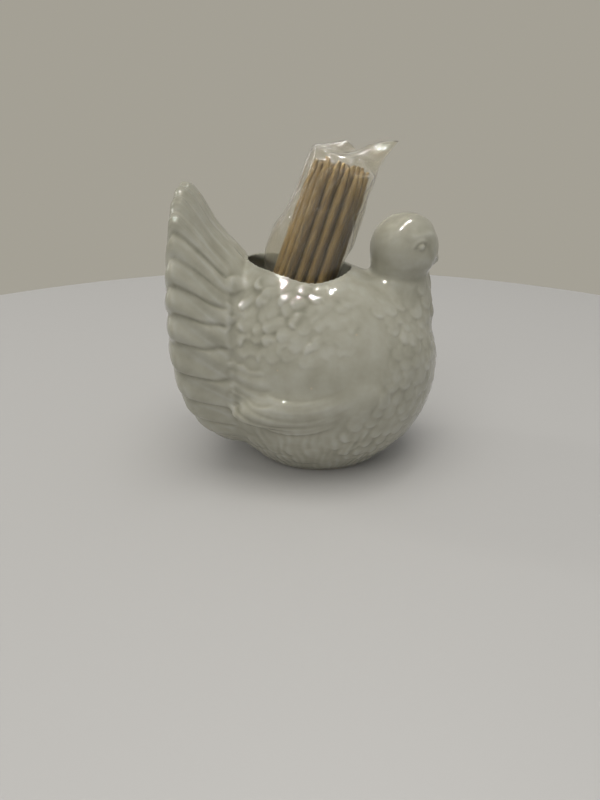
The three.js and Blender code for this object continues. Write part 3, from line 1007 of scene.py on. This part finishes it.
def woodMaterial():
    material, nodes, links, shader = startMaterial("splitBirch")
    uv = nodes.new("ShaderNodeUVMap")
    uv.uv_map = "grain"
    stretch = nodes.new("ShaderNodeMapping")
    stretch.inputs["Scale"].default_value = (1.0, pick["grainStretch"], 1.0)
    links.new(uv.outputs["UV"], stretch.inputs["Vector"])
    where = stretch.outputs["Vector"]
    fibres = place(nodes, links, softMottle, where, Scale=5.5, Detail=6.0, Low=0.0, High=0.75)
    broad = place(nodes, links, softMottle, where, Scale=0.5, Detail=1.0, Low=-0.2, High=0.42)
    dark = addMath(nodes, links, "ADD", fibres, broad)
    dark.use_clamp = True
    colour = mixColour(nodes, links, dark.outputs[0], pick["pale"], pick["streak"])
    pores = place(nodes, links, sparseSpecks, where, Scale=2.4, Size=0.16, Share=0.35)
    links.new(mixColour(nodes, links, pores, colour, pick["pore"]), shader["Base Color"])
    dull = place(nodes, links, softMottle, where, Scale=3.0, Detail=2.0, Low=0.55, High=0.75)
    links.new(dull, shader["Roughness"])
    links.new(bumpNormal(nodes, links, fibres, *pick["relief"]), shader["Normal"])
    return material


def makePicks():
    wood = woodMaterial()
    rng = random.Random(pick["seed"])
    for name in sorted(n for n in frame["nodes"] if n.startswith("toothpick_")):
        low, high = pickEnds(frame["nodes"][name])
        mesh = pickMesh(name.replace("toothpick", "pick"), low, high, rng)
        mesh.materials.append(wood)
        piece = addObject(mesh.name, mesh)
        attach(piece, "bag")
        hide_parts(name)


makePicks()

print("stage: film bag")

# All lengths here are in millimetres
bag = {
    "seed": 23,
    "around": 288,
    "rows": 210,
    "earRows": 40,
    "corner": 2.4,
    "origin": (-11.955, -1.8, 7.393),  # the level of the toothpicks' lower ends
    "foot": -0.45,
    "footNarrow": 0.885,
    "tipNarrow": 0.79,
    "tipShift": 0.2,
    "halfSize": (8.65, 6.6),
    "pickLength": 65,
    "pastTips": 1.04,
    "taper": 7,
    "stand": 0.12,  # how far the film stands off the room that the toothpicks need
    "slack": 3.0,  # at the rear
    "slackRun": (0.52, 0.69, 0.93),  # where it starts, is fullest and ends, as shares of the length
    "earBase": 67.2,
    "earSize": (5.25, 0.30),
    "earShift": 4.35,
    "earLine": ((-1, -0.7, -0.37, -0.22, -0.08, 0.4, 0.8, 1), (3.4, 2.9, 1.8, 2.6, 3.9, 5.4, 6.4, 6.7)),
    "earSway": ((0.55, 4.2, 0.8), (0.25, 11, 2)),
    "girth": 46,
    "freed": (46, 51),  # above these heights the film is clear of the mouth and may crumple
    "crease": 0.75,
    "swell": 0.34,
    "swellWaves": ((2, 0.21, 0), (3, -0.16, 1)),  # round the bag, up it, and their shift
    "calmEars": 0.75,
    "creases": 90,
    "crossing": 3,  # every third crease runs across the bag
    # For those along and those across: how high they lie and how long they are
    "creaseUp": ((44, 64), (56, 70)),
    "creaseLength": ((8, 22), (3, 9)),
    "creaseLean": 0.6,
    "creaseWidth": (0.5, 1.2),
    "creaseHeight": (0.35, 0.85),
    # The long folds: where each starts and ends round the bag and up it, its half width and its height
    "folds": (
        ((36.7, 70.0), (31.0, 56.0), 0.7, 1.0), ((38.5, 68.5), (35.0, 51.0), 0.6, 0.9),
        ((41.8, 66.2), (35.5, 64.4), 0.85, 1.45), ((43.5, 65.0), (39.2, 66.9), 0.8, 1.3),
        ((30.0, 66.8), (34.0, 64.4), 0.8, 1.35), ((28.0, 65.2), (31.8, 65.9), 0.75, 1.25),
        ((30.5, 62.0), (33.0, 66.5), 0.6, 1.1), ((40.5, 61.5), (42.2, 66.0), 0.6, 1.1),
        ((27.5, 62.0), (30.5, 46.0), 0.55, 0.9), ((26.5, 55.0), (34.0, 46.0), 0.55, 0.9),
        ((28.0, 48.5), (38.0, 46.0), 0.55, 0.9), ((29.0, 58.0), (31.5, 48.0), 0.5, 0.8),
    ),
    "thickness": 0.06,
    "film": (0.93, 0.92, 0.88, 1),
    "tint": (0.86, 0.84, 0.77, 1),
    # White along the creases: film whitened where it was folded, and painted glints
    "creaseWhiteAndGlint": (1, 1, 1, 1),
    "wornRoughness": 0.17,
    "clear": 0.98,
    "bend": 1.40,
    "letsThrough": 0.86,  # of the light that falls on what it wraps
}


def bagPoints(t, turn):
    # A point of the film, t from 0 at the foot to 2 at the seal: across, front to back and along the bag
    low = np.clip(t, 0, 1)
    ear = np.clip(t - 1, 0, 1)
    foot, taper, tipNarrow = bag["foot"], bag["taper"], bag["tipNarrow"]
    w = foot + (bag["earBase"] - foot) * low
    share = w / bag["pickLength"]
    narrow = 1 + (tipNarrow - 1) * np.clip(share, 0, bag["pastTips"])
    atTaper = 1 + (tipNarrow - 1) * taper / bag["pickLength"]
    drawnIn = bag["footNarrow"] + (atTaper - bag["footNarrow"]) * (w - foot) / taper
    narrow = np.where(w < taper, drawnIn, narrow)
    start, most, stop = bag["slackRun"]
    slack = bag["slack"] * ease(share, start, most) * (1 - ease(share, most, stop))
    c, s = np.cos(turn), np.sin(turn)
    reach = (np.abs(c) ** bag["corner"] + np.abs(s) ** bag["corner"]) ** (-1 / bag["corner"])
    length, width = bag["halfSize"]
    u = (length * narrow + bag["stand"] + slack * (c < 0)) * reach * c + bag["tipShift"] * share
    y = (width * narrow + bag["stand"]) * reach * s
    forward = reach * c
    earLength, earWidth = bag["earSize"]
    u = u + (earLength * forward + bag["earShift"] - u) * ear
    sway = sum(height * np.sin(forward * often + shift) for height, often, shift in bag["earSway"])
    y = y + (earWidth * reach * s + sway * ear - y) * ear ** 0.8
    return u, y, w + np.interp(forward, *bag["earLine"]) * ear


def creaseField(around, up, rng):
    # Sharp little ridges where the film was folded: most run along the bag, some across it near the seal
    folds = []
    for start, stop, width, height in bag["folds"]:
        folds.append(((np.array(start) + stop) / 2, np.subtract(stop, start), width, height))
    girth, lean = bag["girth"], bag["creaseLean"]
    for index in range(bag["creases"]):
        kind = 1 if index % bag["crossing"] == 0 else 0
        middle = rng.uniform(0, girth), rng.uniform(*bag["creaseUp"][kind])
        heading = rng.uniform(-lean, lean) + kind * math.pi / 2
        reach = rng.uniform(*bag["creaseLength"][kind])
        line = reach * np.array([math.sin(heading), math.cos(heading)])
        folds.append((middle, line, rng.uniform(*bag["creaseWidth"]), rng.uniform(*bag["creaseHeight"])))
    field = np.zeros(around.shape)
    for (turned, risen), line, width, height in folds:
        length = np.linalg.norm(line)
        direction = line / length
        du = (around - turned + girth / 2) % girth - girth / 2
        dw = up - risen
        along = (du * direction[0] + dw * direction[1]) / (length / 2)
        away = np.abs(du * direction[1] - dw * direction[0])
        ridge = np.clip(1 - away / width, 0, 1) * np.clip(1 - along ** 2, 0, 1)
        field = np.maximum(field, ridge * height)
    return field


def bagNormals(t, turn, here):
    step = 0.01
    sideways = np.stack(bagPoints(t, turn + step), -1) - here
    upward = here - np.stack(bagPoints(np.clip(t - step, 0, 2), turn), -1)
    normal = np.cross(sideways, upward)
    return normal / np.maximum(np.linalg.norm(normal, axis=-1, keepdims=True), 1e-9)


def makeBag():
    around = bag["around"]
    t = np.concatenate([np.linspace(0, 1, bag["rows"]), 1 + np.linspace(0, 1, bag["earRows"])[1:]])
    turn = np.arange(around) / around * 2 * math.pi
    t, turn = np.meshgrid(t, turn, indexing="ij")
    spots = np.stack(bagPoints(t, turn), -1)
    w = spots[..., 2]
    rng = random.Random(bag["seed"])
    first, second = [np.sin(often * turn + w * climb + shift) for often, climb, shift in bag["swellWaves"]]
    swell = 0.5 + 0.5 * first * second
    freed = ease(w, *bag["freed"])
    creases = creaseField(turn / (2 * math.pi) * bag["girth"], w, rng)
    stand = freed * (bag["crease"] * creases + bag["swell"] * swell)
    stand = stand * (1 - bag["calmEars"] * ease(t, 1.0, 1.5))
    spots = spots + bagNormals(t, turn, spots) * stand[..., None]
    axes = np.array([across, (0, 1, 0), upAlong])
    vertices = np.array(bag["origin"]) * mm + spots.reshape(-1, 3) * mm @ axes
    faces = []
    for i in range(t.shape[0] - 1):
        for j in range(around):
            k = (j + 1) % around
            faces.append((i * around + j, i * around + k, (i + 1) * around + k, (i + 1) * around + j))
    faces.append(tuple(range(around - 1, -1, -1)))
    mesh = bpy.data.meshes.new("film_bag")
    mesh.from_pydata([tuple(v) for v in vertices], [], faces)
    smoothFaces(mesh)
    mesh.attributes.new("creased", "FLOAT", "POINT").data.foreach_set("value", (freed * creases).ravel())
    mesh.update()
    mesh.materials.append(filmMaterial())
    piece = addObject("film_bag", mesh)
    wall = piece.modifiers.new("wall", "SOLIDIFY")
    wall.thickness = bag["thickness"] * mm
    wall.offset = -1
    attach(piece, "bag")
    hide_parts("pick_bag")


def filmMaterial():
    material, nodes, links, shader = startMaterial("clearFilm")
    where = nodes.new("ShaderNodeTexCoord").outputs["Object"]
    shader["Transmission Weight"].default_value = bag["clear"]
    shader["IOR"].default_value = bag["bend"]
    creased = nodes.new("ShaderNodeAttribute")
    creased.attribute_name = "creased"
    creaseWhiteAndGlint = creased.outputs["Fac"]
    cloud = place(nodes, links, softMottle, where, Scale=90.0, Detail=3.0, Low=0.0, High=1.0)
    colour = mixColour(nodes, links, cloud, bag["film"], bag["tint"])
    # Paler along the creases: film whitened by folding, and painted glints
    links.new(mixColour(nodes, links, creaseWhiteAndGlint, colour, bag["creaseWhiteAndGlint"]), shader["Base Color"])
    gloss = place(nodes, links, softMottle, where, Scale=220.0, Detail=2.0, Low=0.01, High=0.05)
    rough = addMath(nodes, links, "MULTIPLY_ADD", creaseWhiteAndGlint, bag["wornRoughness"], gloss)
    links.new(rough.outputs[0], shader["Roughness"])
    shadow = nodes.new("ShaderNodeLightPath").outputs["Is Shadow Ray"]
    clear = addMath(nodes, links, "MULTIPLY_ADD", shadow, -bag["letsThrough"], 1.0)
    links.new(clear.outputs[0], shader["Alpha"])
    return material


makeBag()
